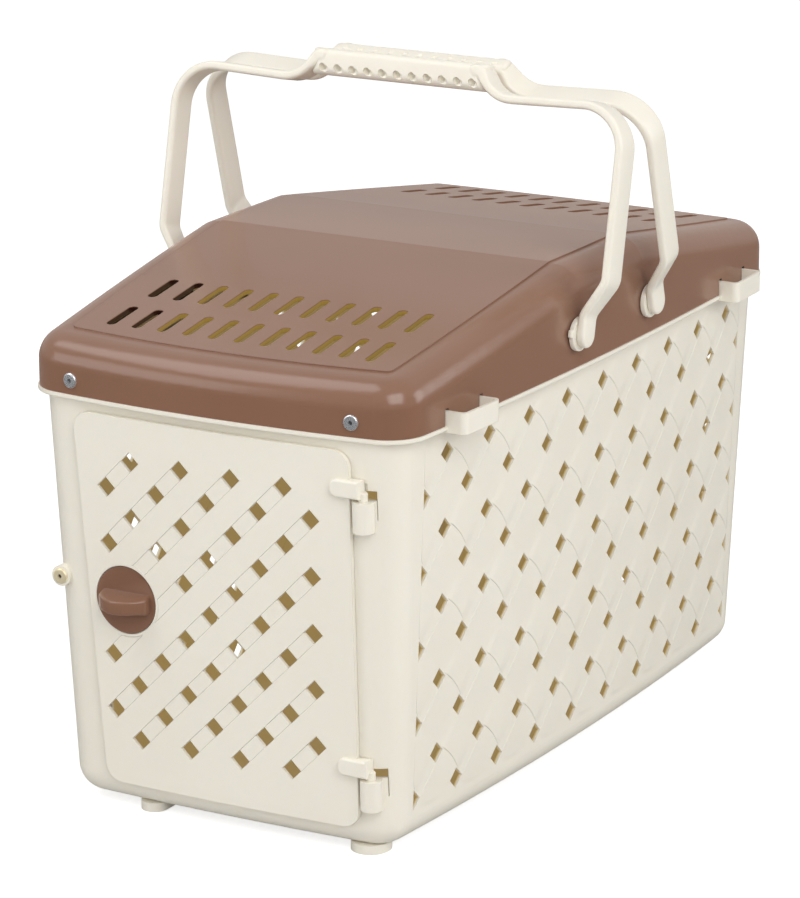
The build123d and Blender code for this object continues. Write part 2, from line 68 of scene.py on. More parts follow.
forward = Vector((-math.sin(AZIMUTH) * math.cos(ELEVATION),
                  math.cos(AZIMUTH) * math.cos(ELEVATION),
                  -math.sin(ELEVATION)))
level = Vector((math.cos(AZIMUTH), math.sin(AZIMUTH), 0))
upward = level.cross(forward)
right = level * math.cos(ROLL) + upward * math.sin(ROLL)
up = upward * math.cos(ROLL) - level * math.sin(ROLL)
camera = bpy.data.objects.new("camera", bpy.data.cameras.new("camera"))
bpy.context.scene.collection.objects.link(camera)
turned = Matrix((right, up, -forward)).transposed().to_4x4()
camera.matrix_world = Matrix.Translation(EYE) @ turned
camera.data.sensor_fit = "HORIZONTAL"
camera.data.sensor_width = SENSOR
camera.data.lens = FOCAL_PIXELS * SENSOR / IMAGE_WIDTH
camera.data.clip_end = 50.0
bpy.context.scene.camera = camera
print("lens", round(camera.data.lens, 2))

# %% [markdown]
# ## Helpers for node trees
# A material is a tree of nodes. Adding each node by hand takes three or four
# lines and hides the sum it works out, so a few helpers add a node, set its
# constants and link it in one line.

# %% Helpers for node trees
def set_inputs(node, constants):
    """Sets constants on a node's own inputs and returns the node."""
    for socket, value in constants.items():
        node.inputs[socket].default_value = value
    return node


def maths(tree, operation, *values):
    """A Math node whose inputs are numbers or sockets."""
    node = tree.nodes.new("ShaderNodeMath")
    node.operation = operation
    for place, value in enumerate(values):
        if isinstance(value, (int, float)):
            node.inputs[place].default_value = value
        else:
            tree.links.new(value, node.inputs[place])
    return node.outputs[0]


def times(tree, product, *factors):
    """The product of two or more sockets or numbers."""
    for factor in factors:
        product = maths(tree, "MULTIPLY", product, factor)
    return product


def ramp(tree, value, low, high, start=0.0, end=1.0, smooth=False):
    """A clamped ramp from start at low to end at high."""
    node = set_inputs(tree.nodes.new("ShaderNodeMapRange"),
                      {"From Min": low, "From Max": high, "To Min": start, "To Max": end})
    node.interpolation_type = "SMOOTHSTEP" if smooth else "LINEAR"
    tree.links.new(value, node.inputs["Value"])
    return node.outputs["Result"]


def within(tree, value, limit, edge):
    """1 where the size of value is under limit, falling to 0 over a short edge."""
    return ramp(tree, maths(tree, "ABSOLUTE", value), limit + edge, limit - edge, smooth=True)


def length_of(tree, parts):
    """The length of a vector, whose parts are sockets under their letters."""
    vector = tree.nodes.new("ShaderNodeCombineXYZ")
    for letter, value in parts.items():
        tree.links.new(value, vector.inputs[letter])
    length = tree.nodes.new("ShaderNodeVectorMath")
    length.operation = "LENGTH"
    tree.links.new(vector.outputs[0], length.inputs[0])
    return length.outputs["Value"]


print("node helpers ready")

# %% [markdown]
# ## Shared effects
# An effect that several materials need is a node group, built once. These
# groups give only numbers that change over the surface: heights for bump and
# masks for colour. The shader itself stays in each material, where the export
# can read it.
#
# The first is the grain of a moulded surface: a fine noise for the bump, and a
# slow one that stands for the way the plastic flowed in its mould.

# %% Moulded grain
def new_group(name, inputs, outputs):
    """An empty node group with named number sockets, and its two end nodes."""
    group = bpy.data.node_groups.new(name, "ShaderNodeTree")
    for label, value in inputs.items():
        socket = group.interface.new_socket(label, in_out="INPUT", socket_type="NodeSocketFloat")
        socket.default_value = value
    for label in outputs:
        group.interface.new_socket(label, in_out="OUTPUT", socket_type="NodeSocketFloat")
    return group, group.nodes.new("NodeGroupInput"), group.nodes.new("NodeGroupOutput")


def moulded_grain():
    """Fine grain and slow waviness as a height, and the waviness alone as a mottle."""
    tree, into, out = new_group(
        "moulded_grain", {"Grain Scale": 900.0, "Wave Scale": 14.0, "Wave Height": 0.5},
        ["Height", "Mottle"])
    coords = tree.nodes.new("ShaderNodeTexCoord")
    noises = []
    for scale, detail in (("Grain Scale", 3.0), ("Wave Scale", 1.0)):
        noise = set_inputs(tree.nodes.new("ShaderNodeTexNoise"), {"Detail": detail})
        tree.links.new(coords.outputs["Object"], noise.inputs["Vector"])
        tree.links.new(into.outputs[scale], noise.inputs["Scale"])
        noises.append(noise.outputs["Fac"])
    fine, wave = noises
    height = maths(tree, "MULTIPLY_ADD", wave, into.outputs["Wave Height"], fine)
    tree.links.new(height, out.inputs["Height"])
    tree.links.new(wave, out.inputs["Mottle"])
    return tree


GRAIN = moulded_grain()
print("group", GRAIN.name)

# %% [markdown]
# ### The woven walls
# The side and rear walls look like a plain weave of flat diagonal bands, with a
# square hole at each lattice point. The holes are in the CAD mesh. The bands
# rise only about half a millimetre, so here they are a height for bump.
#
# Counted in lattice steps, column plus row numbers the bands of one diagonal
# and column minus row those of the other. Their crossings are chequered in two
# kinds: at one kind the falling band lies on top, with a slightly arched lower
# left edge, and at the other the rising one does, with its upper left edge
# raised. The height falls off from that edge and fades at the band's ends.

# %% Weave relief
FACING = (0.6, 0.75)
WEAVE_STEP = 23.59
TOP_ROW = 244.3
SIDE_FIELD = 212.3
REAR_FIELD = 94.4
FIELD_FOOT = (24.0, 27.0)
FIELD_HEAD = (260.8, 259.0)
BAND_HALF = 0.712
BAND_EDGE = (-0.74, -0.69)
BAND_ENDS = (1.0, 0.5)
BAND_ARCH = 0.16


def place_and_normal(tree):
    """The parts of the place in millimetres, and the parts of the normal."""
    coords = tree.nodes.new("ShaderNodeTexCoord")
    scaled = tree.nodes.new("ShaderNodeVectorMath")
    scaled.operation = "SCALE"
    set_inputs(scaled, {"Scale": 1000.0})
    tree.links.new(coords.outputs["Object"], scaled.inputs[0])
    place = tree.nodes.new("ShaderNodeSeparateXYZ")
    tree.links.new(scaled.outputs[0], place.inputs[0])
    facing = tree.nodes.new("ShaderNodeSeparateXYZ")
    tree.links.new(coords.outputs["Normal"], facing.inputs[0])
    return place.outputs, facing.outputs


def weave_relief():
    """Height of the woven walls, 0 to 1, from the place on the wall."""
    tree, into, out = new_group(
        "weave_relief", {"Step": WEAVE_STEP, "Top Row": TOP_ROW, "Half Window": SIDE_FIELD},
        ["Height"])
    place, facing = place_and_normal(tree)
    on_side = ramp(tree, maths(tree, "ABSOLUTE", facing[0]), *FACING)
    on_rear = ramp(tree, facing[1], *FACING)
    along = maths(tree, "ADD", times(tree, place[1], on_side),
                  times(tree, place[0], maths(tree, "SUBTRACT", 1.0, on_side)))
    column = maths(tree, "DIVIDE", along, into.outputs["Step"])
    row = maths(tree, "DIVIDE", maths(tree, "SUBTRACT", into.outputs["Top Row"], place[2]),
                into.outputs["Step"])
    cells, local = [], []
    for operation in ("ADD", "SUBTRACT"):
        diagonal = maths(tree, operation, column, row)
        cell = maths(tree, "FLOOR", maths(tree, "DIVIDE", diagonal, 2.0))
        middle = maths(tree, "MULTIPLY_ADD", cell, 2.0, 1.0)
        cells.append(cell)
        local.append(maths(tree, "SUBTRACT", diagonal, middle))
    rising = maths(tree, "FLOORED_MODULO", maths(tree, "SUBTRACT", *cells), 2.0)
    falling = maths(tree, "SUBTRACT", 1.0, rising)
    across, lengthwise = (
        maths(tree, "ADD", times(tree, local[k], falling), times(tree, local[1 - k], rising))
        for k in (1, 0))
    slope = ramp(tree, across, BAND_HALF, -BAND_HALF)
    bow = maths(tree, "SUBTRACT", 1.0, maths(tree, "POWER", lengthwise, 2.0))
    arched = maths(tree, "MULTIPLY_ADD", times(tree, bow, falling), -BAND_ARCH, across)
    edge = ramp(tree, arched, *BAND_EDGE, smooth=True)
    fade = ramp(tree, maths(tree, "ABSOLUTE", lengthwise), *BAND_ENDS, smooth=True)
    height = times(tree, slope, edge, fade)
    reach = maths(tree, "ABSOLUTE", maths(tree, "DIVIDE", place[1], into.outputs["Half Window"]))
    side = times(tree, on_side, ramp(tree, reach, 1.002, 1.0))
    rear = times(tree, on_rear, within(tree, place[0], REAR_FIELD, 0.3))
    tall = times(tree, ramp(tree, place[2], *FIELD_FOOT), ramp(tree, place[2], *FIELD_HEAD))
    field = times(tree, maths(tree, "MAXIMUM", side, rear), tall)
    tree.links.new(times(tree, height, field), out.inputs["Height"])
    return tree


WEAVE = weave_relief()
print("group", WEAVE.name)

# %% [markdown]
# ### The door's channels
# The door has straight shallow channels instead of a weave, each joining the
# holes of one rising diagonal. A ping-pong of column minus row gives the
# distance from the nearest diagonal. The channels end at the lattice's border
# and stay clear of the ring that the knob lies in.

# %% Channel relief
PANEL_STEP = 17.77
PANEL_AT = (-20.07, 121.05)
PANEL_HALF = (4.0, 5.0)
CHANNEL_HALF = 0.366
CHANNEL_EDGE = 0.02
KNOB_AT = (-62.5, 0, 139.6)
KNOB_CLEAR = (23.2, 23.8)


def channel_relief():
    """Height of the door's face, 1 on the face and 0 in a channel."""
    tree, into, out = new_group(
        "channel_relief", {"Step": PANEL_STEP, "Half Width": CHANNEL_HALF}, ["Height"])
    place, facing = place_and_normal(tree)
    column = maths(tree, "DIVIDE", maths(tree, "ADD", place[0], -PANEL_AT[0]),
                   into.outputs["Step"])
    row = maths(tree, "DIVIDE", maths(tree, "SUBTRACT", place[2], PANEL_AT[1]),
                into.outputs["Step"])
    across = maths(tree, "PINGPONG", maths(tree, "SUBTRACT", column, row), 1.0)
    beyond = maths(tree, "SUBTRACT", across, into.outputs["Half Width"])
    channel = ramp(tree, beyond, CHANNEL_EDGE, -CHANNEL_EDGE, smooth=True)
    wide, tall = (within(tree, maths(tree, "SUBTRACT", count, 1.0), half, CHANNEL_EDGE)
                  for count, half in zip((column, row), PANEL_HALF))
    from_knob = length_of(tree, {"X": maths(tree, "ADD", place[0], -KNOB_AT[0]),
                                 "Z": maths(tree, "SUBTRACT", place[2], KNOB_AT[2])})
    clear = ramp(tree, from_knob, *KNOB_CLEAR)
    front = ramp(tree, maths(tree, "ABSOLUTE", facing[1]), *FACING)
    inside = times(tree, channel, wide, tall, clear, front)
    tree.links.new(maths(tree, "SUBTRACT", 1.0, inside), out.inputs["Height"])
    return tree


CHANNELS = channel_relief()
print("group", CHANNELS.name)

# %% [markdown]
# ### The inside of the tub
# Through every hole the photograph shows a deep olive, while the outside is a
# clean cream. The inside is the same cream plastic: the olive is painted shade
# for the dim, warm light in the tub, and a weak glow is painted light for what
# the thin walls let through. The tub is one mesh with one material, so a mask
# has to tell the two apart. It rebuilds the tub's drafted and bowed outer skin,
# with its rounded corners and floor edge, and is 1 on all that lies behind that
# skin.

# %% Inside mask
RIM_Z = 264.0
# For each pair of walls: the axis they face, the axis along them, half their
# distance at the rim, their draft, their bow and the half length it spans.
WALLS = ((0, 1, 134.0, 0.0413, 10.0, 245.0),
         (1, 0, 249.0, 0.0404, 4.0, 124.0))
CORNER_R = 22.0
FLOOR_Z = 4.5
FLOOR_R = 17.0
SKIN = 1.4
SKIN_EDGE = 0.6
MASK_TOP = (276.0, 268.0)


def rounded_depth(tree, first, second, radius):
    """How far a point is outside two faces that meet in a rounded edge."""
    beyond = {letter: maths(tree, "MAXIMUM", maths(tree, "ADD", value, radius), 0.0)
              for letter, value in (("X", first), ("Y", second))}
    return maths(tree, "SUBTRACT", length_of(tree, beyond), radius)


def inside_painted_shade_mask():
    """Where the inside's painted shade and glow go: 1 on surfaces behind the outer skin of the
    drafted, bowed tub.
    """
    tree, into, out = new_group("inside_painted_shade_mask", {"Skin": SKIN}, ["Mask"])
    place = place_and_normal(tree)[0]
    below = maths(tree, "SUBTRACT", RIM_Z, place[2])
    depths = []
    for axis, other, half, draft, bow, span in WALLS:
        wall = maths(tree, "POWER", maths(tree, "DIVIDE", place[other], span), 2.0)
        wall = maths(tree, "MULTIPLY_ADD", wall, -bow, half)
        wall = maths(tree, "SUBTRACT", wall, times(tree, below, draft))
        depths.append(maths(tree, "SUBTRACT", maths(tree, "ABSOLUTE", place[axis]), wall))
    around = rounded_depth(tree, *depths, CORNER_R)
    skin = rounded_depth(tree, around, maths(tree, "SUBTRACT", FLOOR_Z, place[2]), FLOOR_R)
    behind = ramp(tree, maths(tree, "ADD", skin, into.outputs["Skin"]), SKIN_EDGE, -SKIN_EDGE,
                  smooth=True)
    mask = times(tree, behind, ramp(tree, place[2], *MASK_TOP))
    tree.links.new(mask, out.inputs["Mask"])
    return tree


INSIDE_PAINTED_SHADE = inside_painted_shade_mask()
print("group", INSIDE_PAINTED_SHADE.name)

# %% [markdown]
# ### The inside of the lid
# The photograph shows the walls of most front vents olive, as the inside of the
# tub is, and those of the vents at the left dark. The lid's underside is dark
# too. Both are painted: the olive with a weak glow is painted light from inside
# the tub, and the dark brown is painted shade. Two masks follow this: one for
# the walls of the vents right of a line, and one for the rest of the vent
# walls, the underside and the skirt's inside.

# %% Lid masks
FLAT_HALF = 43.0
ROOF_SLOPE = 0.151
PANEL_TOP = 327.4
VENT_EDGE = 0.35
VENT_Y = -179.0
VENT_HALF = (95.0, 39.0)
LIT_FROM = (-64.0, -62.0)
UPRIGHT = (0.35, 0.2)
DOWNWARD = (-0.15, -0.3)
INWARD = (-40.0, -60.0)
SKIRT_HEAD = (296.0, 290.0)


def lid_painted_light_masks():
    """The olive painted light on the front vent walls, and the dark painted shade inside the lid.
    """
    tree, into, out = new_group("lid_painted_light_masks", {"Edge": VENT_EDGE}, ["Painted Light", "Painted Shade"])
    place, facing = place_and_normal(tree)
    down_slope = maths(tree, "SUBTRACT", maths(tree, "ABSOLUTE", place[1]), FLAT_HALF)
    top = maths(tree, "MULTIPLY_ADD", down_slope, -ROOF_SLOPE, PANEL_TOP)
    depth = maths(tree, "SUBTRACT", maths(tree, "SUBTRACT", top, place[2]),
                  into.outputs["Edge"])
    upright = ramp(tree, maths(tree, "ABSOLUTE", facing[2]), *UPRIGHT)
    rows = within(tree, maths(tree, "ADD", place[1], -VENT_Y), VENT_HALF[1], 1.0)
    columns = within(tree, place[0], VENT_HALF[0], 1.0)
    walls = times(tree, rows, columns, upright, ramp(tree, depth, 0.0, 0.2))
    # Painted light: the vent walls right of this line get the olive glow.
    lit = ramp(tree, place[0], *LIT_FROM)
    tree.links.new(times(tree, walls, lit), out.inputs["Painted Light"])
    # Painted shade: the vent walls left of it, the skirt's inside and the underside get the dark
    # colour.
    unlit = times(tree, walls, maths(tree, "SUBTRACT", 1.0, lit))
    outward = maths(tree, "MULTIPLY_ADD", place[0], facing[0],
                    times(tree, place[1], facing[1]))
    skirt = times(tree, ramp(tree, outward, *INWARD), ramp(tree, place[2], *SKIRT_HEAD))
    underside = ramp(tree, facing[2], *DOWNWARD)
    under = maths(tree, "MAXIMUM", maths(tree, "MAXIMUM", skirt, underside), unlit)
    tree.links.new(under, out.inputs["Painted Shade"])
    return tree


LID_PAINTED_LIGHT = lid_painted_light_masks()
print("group", LID_PAINTED_LIGHT.name)

# %% [markdown]
# ## Plastics
# The carrier is injection moulded. Its plastic is a Principled shader with a
# colour that wanders between two close shades, a gloss that wanders with it,
# the fine grain as bump, and a Bevel node that softens the sharp CAD edges
# without touching the mesh. The cream lets a little light in, which is the
# subsurface weight, and the brown has a faint warm sheen.

# %% Plastic
EDGE_RADIUS = 0.0005
GRAIN_DEPTH = 0.0003
GLOSS_SPREAD = 0.04
PLASTIC_CONSTANTS = {
    "IOR": 1.49,
    "Sheen Roughness": 0.4,
    "Sheen Tint": (1.0, 0.78, 0.66, 1.0),
    "Subsurface Radius": (0.006, 0.004, 0.002),
}


def principled(name, constants):
    """A material, and its Principled shader with its constants set."""
    material = bpy.data.materials.new(name)
    material.use_nodes = True
    return material, set_inputs(material.node_tree.nodes["Principled BSDF"], constants)


def add_group(tree, group, constants=None):
    """A node that places a shared group in a material."""
    node = tree.nodes.new("ShaderNodeGroup")
    node.node_tree = group
    return set_inputs(node, constants or {})


def mixed(tree, mask, under, over):
    """A colour that goes from under, a colour or a socket, to over with the mask."""
    node = tree.nodes.new("ShaderNodeMix")
    node.data_type = "RGBA"
    tree.links.new(mask, node.inputs[0])
    if isinstance(under, tuple):
        node.inputs[6].default_value = under
    else:
        tree.links.new(under, node.inputs[6])
    node.inputs[7].default_value = over
    return node.outputs[2]


def bumped(tree, height, strength, distance, normal=None):
    """The normal after a bump of a height, on top of the normal before it."""
    node = set_inputs(tree.nodes.new("ShaderNodeBump"),
                      {"Strength": strength, "Distance": distance})
    tree.links.new(height, node.inputs["Height"])
    if normal is not None:
        tree.links.new(normal, node.inputs["Normal"])
    return node.outputs["Normal"]


def plastic(name, low, high, roughness, bump, subsurface=0.0, sheen=0.0, shades=(),
            relief=None, deep=0.5):
    """A moulded plastic whose colour wanders between two shades.

    Each of shades is a mask group, its output, a painted colour there and a weak
    painted glow: painted shade and painted light that stand for light scattered
    inside. relief is a group that gives a height of deep millimetres on top of
    the moulded grain.
    """
    material, shader = principled(name, PLASTIC_CONSTANTS | {
        "Roughness": roughness, "Subsurface Weight": subsurface, "Sheen Weight": sheen})
    tree = material.node_tree
    grain = add_group(tree, GRAIN)
    colour = mixed(tree, grain.outputs["Mottle"], low, high)
    for masks, output, tint, glow in shades:
        mask = add_group(tree, masks).outputs[output]
        # Painted shade and light: the mask's tint over the plastic's own colour, and a glow
        # though the part is no lamp.
        colour = mixed(tree, mask, colour, tint)
        if glow:
            set_inputs(shader, {"Emission Color": tint})
            tree.links.new(times(tree, mask, glow), shader.inputs["Emission Strength"])
    tree.links.new(colour, shader.inputs["Base Color"])
    gloss = ramp(tree, grain.outputs["Mottle"], 0.0, 1.0,
                 roughness - GLOSS_SPREAD, roughness + GLOSS_SPREAD)
    tree.links.new(gloss, shader.inputs["Roughness"])
    rounded = set_inputs(tree.nodes.new("ShaderNodeBevel"), {"Radius": EDGE_RADIUS})
    normal = bumped(tree, grain.outputs["Height"], bump, GRAIN_DEPTH, rounded.outputs["Normal"])
    if relief:
        shape = add_group(tree, relief)
        normal = bumped(tree, shape.outputs["Height"], 1.0, deep * MM, normal)
    tree.links.new(normal, shader.inputs["Normal"])
    return material


def srgb(red, green, blue):
    """A linear colour from 0 to 255 display values."""
    def linear(value):
        value = value / 255
        return value / 12.92 if value <= 0.04045 else ((value + 0.055) / 1.055) ** 2.4
    return (linear(red), linear(green), linear(blue), 1.0)


cream = dict(low=srgb(236, 230, 216), high=srgb(240, 235, 222), roughness=0.36, bump=0.06,
             subsurface=0.1)
brown = dict(low=srgb(131, 94, 74), high=srgb(137, 100, 80))
# Painted shade and light: an olive tint and a weak glow on the tub's inside stand in for its dim,
# warm light.
inside_painted_shade_and_glow = [(INSIDE_PAINTED_SHADE, "Mask", srgb(186, 164, 112), 0.34)]
# Painted shade: a near-black brown on the lid's inside and the left vent walls. Painted light: an
# olive colour with a weak glow on the other front vent walls.
lid_painted_shade_and_light = [(LID_PAINTED_LIGHT, "Painted Shade", srgb(44, 16, 10), 0.0),
              (LID_PAINTED_LIGHT, "Painted Light", srgb(150, 124, 60), 0.2)]
CREAM = plastic("cream_plastic_look", **cream)
WOVEN = plastic("woven_cream_look", **cream, shades=inside_painted_shade_and_glow, relief=WEAVE, deep=0.7)
PANEL = plastic("door_cream_look", **cream, shades=inside_painted_shade_and_glow, relief=CHANNELS, deep=0.5)
BROWN = plastic("brown_plastic_look", **brown, roughness=0.22, bump=0.04, sheen=0.2)
LID = plastic("lid_brown_look", **brown, roughness=0.21, bump=0.03, sheen=0.35,
              shades=lid_painted_shade_and_light)
print("plastics", [m.name for m in (CREAM, WOVEN, PANEL, BROWN, LID)])

# %% [markdown]
# ## Metals, and who wears what
# The rivets are aluminium with dark steel mandrels, and the keeper and the
# screw of the latch cam are zinc-plated steel. Fine scratches come from the
# same grain group at a much larger scale. The CAD model names a material for
# each slot, so the looks are handed out by that name, apart from three pieces
# with a look of their own.

# %% Metals and looks
SCRATCH_SCALE = 2500.0
SCRATCH_DEPTH = 0.0001
SCRATCH_BUMP = 0.15
SCRATCH_SPREAD = 0.06


def metal(name, colour, roughness, metallic=0.8):
    """A turned or drawn metal with fine scratches in its gloss."""
    material, shader = principled(name, {
        "Base Color": colour, "Roughness": roughness, "Metallic": metallic})
    tree = material.node_tree
    scratches = add_group(tree, GRAIN, {"Grain Scale": SCRATCH_SCALE}).outputs["Height"]
    gloss = ramp(tree, scratches, 0.0, 1.0,
                 roughness - SCRATCH_SPREAD, roughness + SCRATCH_SPREAD)
    tree.links.new(gloss, shader.inputs["Roughness"])
    normal = bumped(tree, scratches, SCRATCH_BUMP, SCRATCH_DEPTH)
    tree.links.new(normal, shader.inputs["Normal"])
    return material


LOOKS = {
    "cream_plastic": CREAM,
    "brown_plastic": BROWN,
    "aluminium": metal("aluminium_look", srgb(232, 234, 238), 0.25),
    "champagne_aluminium": metal("champagne_look", srgb(240, 226, 190), 0.3, 0.4),
    "dark_steel": metal("dark_steel_look", srgb(96, 94, 96), 0.4),
    "steel": metal("zinc_look", srgb(196, 198, 200), 0.35),
}
OWN_LOOKS = {"basket": WOVEN, "front_door": PANEL, "lid": LID}
for name, node in nodes.items():
    for part_slot in node.material_slots:
        key = part_slot.name.split(".")[0]
        part_slot.material = OWN_LOOKS.get(name, LOOKS.get(key, CREAM))
print("materials", len(LOOKS) + len(OWN_LOOKS))

# %% [markdown]
# ## Helpers for meshes
# The new meshes are modelled in millimetres at a handy place, because round
# numbers are easier to read, and are scaled and handed to a body at the end.
# Discs and boxes start from an operator's plain shape, and a bevel of a few
# segments gives the soft rim that catches a highlight.

# %% Helpers for meshes
SMOOTH_LIMIT = math.radians(38)


def finished(bm, name, material, body, slot, *replaced):
    """Turns a bmesh in millimetres into a smooth object that rides on a body."""
    bmesh.ops.scale(bm, vec=(MM, MM, MM), verts=bm.verts)
    bmesh.ops.recalc_face_normals(bm, faces=bm.faces)
    data = bpy.data.meshes.new(name)
    bm.to_mesh(data)
    bm.free()
    data.polygons.foreach_set("use_smooth", [True] * len(data.polygons))
    data.set_sharp_from_angle(angle=SMOOTH_LIMIT)
    piece = bpy.data.objects.new(name, data)
    bpy.context.scene.collection.objects.link(piece)
    data.materials.append(material)
    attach(piece, body)
    if replaced:
        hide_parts(*replaced)
    return piece


def take_in(bm, other):
    """Moves all of another bmesh into bm."""
    data = bpy.data.meshes.new("work")
    other.to_mesh(data)
    other.free()
    bm.from_mesh(data)
    bpy.data.meshes.remove(data)


def edges_of(verts):
    """The edges at some vertices, each listed once."""
    return list(dict.fromkeys(e for v in verts for e in v.link_edges))


def rounded_disc(bm, x_low, x_high, radius, edge):
    """A disc square to X with rounded rims."""
    turn = Matrix.Translation(((x_low + x_high) / 2, 0, 0)) @ Matrix.Rotation(math.pi / 2, 4, "Y")
    made = bmesh.ops.create_cone(bm, cap_ends=True, segments=64, radius1=radius, radius2=radius,
                                 depth=x_high - x_low, matrix=turn)
    rims = [e for e in edges_of(made["verts"])
            if abs(e.verts[0].co.x - e.verts[1].co.x) < 1e-4]
    bmesh.ops.bevel(bm, geom=rims, offset=edge, segments=3, profile=0.5,
                    affect="EDGES", material=-1)


def rounded_box(bm, low, high, edge, segments=3):
    """A box between two corners with all its edges rounded."""
    middle = (Vector(low) + Vector(high)) / 2
    size = Matrix.Diagonal((*(Vector(high) - Vector(low)), 1))
    made = bmesh.ops.create_cube(bm, size=1, matrix=Matrix.Translation(middle) @ size)
    bmesh.ops.bevel(bm, geom=edges_of(made["verts"]), offset=edge, segments=segments,
                    profile=0.5, affect="EDGES", material=-1)


print("mesh helpers ready")

# %% [markdown]
# ## The handles
# Each handle is one flat strip bent in its own plane: straight arms that spread
# above their pivots, round corners, and a crossbar that dips a little and then
# climbs in an S to the hand grip. A curve with a bevel could make it, but the
# strip changes width and depth on the way, so one rounded section is extruded
# along each straight and spun round each bend. Half a strip is made, from the
# pivot to the grip, and mirrored.

# %% The bent strip
STRIP_EDGE = 2.0
END_STEPS = 24
BEND_STEP = math.radians(6)


def bend_moves(corners, radii):
    """The straights and arcs of a polyline whose corners are rounded."""
    moves = []
    used = 0.0
    for k in range(1, len(corners)):
        a, b = Vector(corners[k - 1]), Vector(corners[k])
        run = (b - a).length
        if k == len(corners) - 1:
            moves.append((run - used, 0.0, 0.0))
            continue
        turn = (b - a).angle_signed(Vector(corners[k + 1]) - b)
        tangent = radii[k] * math.tan(abs(turn) / 2)
        moves.append((run - used - tangent, -turn, radii[k]))
        used = tangent
    return moves


def round_end(bm, spot, depth, width):
    """The strip's rounded section at spot, with a round end below. Gives its edges."""
    made = bmesh.ops.create_grid(bm, x_segments=1, y_segments=1, size=0.5)
    bmesh.ops.scale(bm, vec=(depth, width, 1), verts=made["verts"])
    bmesh.ops.bevel(bm, geom=made["verts"], offset=STRIP_EDGE, segments=5, profile=0.5,
                    affect="VERTICES", material=-1)
    bmesh.ops.translate(bm, vec=spot, verts=bm.verts)
    bmesh.ops.bisect_plane(bm, geom=bm.verts[:] + bm.edges[:] + bm.faces[:],
                           plane_co=(0, 0, 0), plane_no=(0, 1, 0))
    section = [e for e in bm.edges if e.is_boundary]
    bmesh.ops.delete(bm, geom=bm.faces[:], context="FACES_ONLY")
    half = [e for e in section if all(v.co.y > -1e-4 for v in e.verts)]
    bmesh.ops.spin(bm, geom=half, cent=spot, axis=(1, 0, 0), angle=-math.pi, steps=END_STEPS,
                   use_duplicate=False)
    return section


def extruded(bm, section, move):
    """Extrudes the section's edges by a move. Gives the new edges and vertices."""
    made = bmesh.ops.extrude_edge_only(bm, edges=section)
    new = [v for v in made["geom"] if isinstance(v, bmesh.types.BMVert)]
    section = [e for e in made["geom"] if isinstance(e, bmesh.types.BMEdge)
               and all(v in new for v in e.verts)]
    bmesh.ops.translate(bm, vec=move, verts=new)
    return section, new


def sideways(heading, distance):
    """A step to the left of a heading, or to the right if distance is negative."""
    return Vector((-math.sin(heading), 0, math.cos(heading))) * distance


def sweep(bm, line, radii, widths, depths):
    """Sweeps the rounded section along the line, with a width and depth per corner."""
    heading = math.atan2(line[1][1] - line[0][1], line[1][0] - line[0][0])
    spot = Vector((line[0][0], 0, line[0][1]))
    section = round_end(bm, spot, depths[0], widths[0])
    for count, (run, turn, radius) in enumerate(bend_moves(line, radii)):
        move = Vector((math.cos(heading), 0, math.sin(heading))) * run
        section, new = extruded(bm, section, move)
        spot += move
        grow = (depths[count + 1] / depths[count], widths[count + 1] / widths[count], 1)
        local = Matrix.Rotation(heading - math.pi / 2, 4, "Y") @ Matrix.Translation(-spot)
        bmesh.ops.scale(bm, vec=grow, space=local, verts=new)
        if radius:
            signed = math.copysign(radius, turn)
            centre = spot + sideways(heading, signed)
            made = bmesh.ops.spin(bm, geom=section, cent=centre, axis=(0, -1, 0), angle=turn,
                                  steps=max(3, round(abs(turn) / BEND_STEP)),
                                  use_duplicate=False)
            section = [e for e in made["geom_last"] if isinstance(e, bmesh.types.BMEdge)]
            heading += turn
            spot = centre - sideways(heading, signed)
    bmesh.ops.contextual_create(bm, geom=section)
    bmesh.ops.remove_doubles(bm, verts=bm.verts, dist=0.001)
    loose = [e for e in bm.edges if not e.link_faces]
    bmesh.ops.delete(bm, geom=loose, context="EDGES")


print("strip helpers ready")

# %% [markdown]
# ### The hand grip
# The grip is a domed bar whose ends lean outward at the foot. It has a row of
# round dimples on its outer side, each with a shallow scoop in front of it, and
# two rows of scallops on top. A Boolean takes rounded cutters away from the
# bar. Cutters that overlap each other in one pass can leave an empty mesh, so
# the scoops go in a second pass.

# %% Grip
GRIP = ((-58.0, -7.6, 140.1), (58.0, 7.6, 157.2))
GRIP_EDGE = 5.0
LEAN_FROM = 148.6
END_LEAN = 0.8
CUTTER_COUNT = 11
CUTTER_PITCH = 10.66
# Each cutter is its centre at the middle of the grip and its half sizes.
DIMPLE = ((-0.3, -6.2, 145.3), (2.5, 2.5, 2.5))
SCALLOPS = [((y * 0.3, y, 160.2), (3.6, 2.6, 3.9)) for y in (-4.2, 2.6)]
SCOOP = ((1.5, -9.4, 143.6), (3.3, 3.3, 3.3))


def cut(bm, cutters):
    """Takes the bmesh cutters away from bm with the Boolean modifier."""
    made = []
    for source in (bm, cutters):
        data = bpy.data.meshes.new("work")
        source.to_mesh(data)
        made.append(bpy.data.objects.new("work", data))
        bpy.context.scene.collection.objects.link(made[-1])
    modifier = made[0].modifiers.new("cut", "BOOLEAN")
    modifier.object = made[1]
    modifier.solver = "EXACT"
    bpy.context.view_layer.update()
    result = made[0].evaluated_get(bpy.context.evaluated_depsgraph_get()).to_mesh()
    bm.clear()
    bm.from_mesh(result)
    cutters.free()
    for work in made:
        bpy.data.meshes.remove(work.data)


